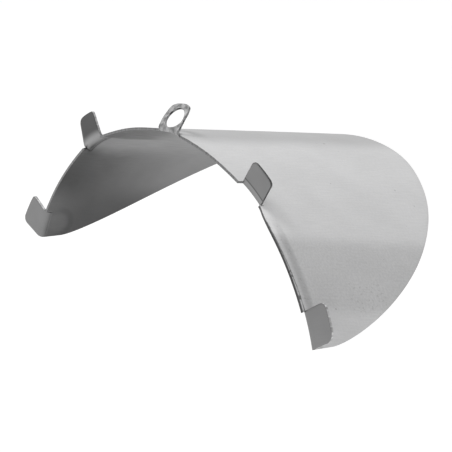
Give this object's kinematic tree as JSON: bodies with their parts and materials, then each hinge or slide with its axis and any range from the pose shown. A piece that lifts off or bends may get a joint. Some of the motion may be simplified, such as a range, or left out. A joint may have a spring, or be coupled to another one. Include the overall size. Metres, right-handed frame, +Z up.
{
  "type": "heat lamp hood",
  "caption": "Half-round visor of bent aluminium sheet for a poultry heat lamp, with bendable rim tabs and a hanging eye.",
  "frame": {"origin": "highest point of the rim, on the sheet's outer face: the middle of the arc that lies against the lamp shade's rim", "axes": "+X to the hood's right seen from the lamp, +Y from the lamp out along the hood, +Z up; the rim's arc lies in the plane Y = 0 with its centre 132 mm below the origin"},
  "size_m": [0.283, 0.1534, 0.1114],
  "materials": {
    "hood_sheet": "mill-finish rolled sheet, dull satin, lightly scratched",
    "tab_sheet": "mill-finish rolled sheet, dull, creased at the bend, rough sheared edges",
    "eye_sheet": "mill-finish rolled sheet, punched hole with a worn bright edge"
  },
  "bodies": {
    "hood": {"hood_shell": "hood_sheet"},
    "rim_tab_upper_left": {"rim_tab_upper_left": "tab_sheet"},
    "rim_tab_upper_right": {"rim_tab_upper_right": "tab_sheet"},
    "rim_tab_lower_left": {"rim_tab_lower_left": "tab_sheet"},
    "rim_tab_lower_right": {"rim_tab_lower_right": "tab_sheet"},
    "hanging_eye": {"hanging_eye": "eye_sheet"}
  },
  "joints": [
    {"name": "rim_tab_upper_left_bend", "type": "hinge", "parent": "hood", "child": "rim_tab_upper_left", "pos_m": [-0.07109, 0.0033, -0.02214], "axis": [-0.8415, 0, -0.5402], "range_deg": [-75, 40]},
    {"name": "rim_tab_upper_right_bend", "type": "hinge", "parent": "hood", "child": "rim_tab_upper_right", "pos_m": [0.06807, 0.0033, -0.02025], "axis": [-0.8558, 0, 0.5173], "range_deg": [-75, 40]},
    {"name": "rim_tab_lower_left_bend", "type": "hinge", "parent": "hood", "child": "rim_tab_lower_left", "pos_m": [-0.12235, 0.0033, -0.08443], "axis": [-0.3681, 0, -0.9298], "range_deg": [-75, 35]},
    {"name": "rim_tab_lower_right_bend", "type": "hinge", "parent": "hood", "child": "rim_tab_lower_right", "pos_m": [0.12235, 0.0033, -0.08443], "axis": [-0.3681, 0, 0.9298], "range_deg": [-75, 35]},
    {"name": "hanging_eye_bend", "type": "hinge", "parent": "hood", "child": "hanging_eye", "pos_m": [-0.0016, -0.0002, -0.00068], "axis": [-0.9999, 0, -0.0122], "range_deg": [-75, 20]}
  ]
}
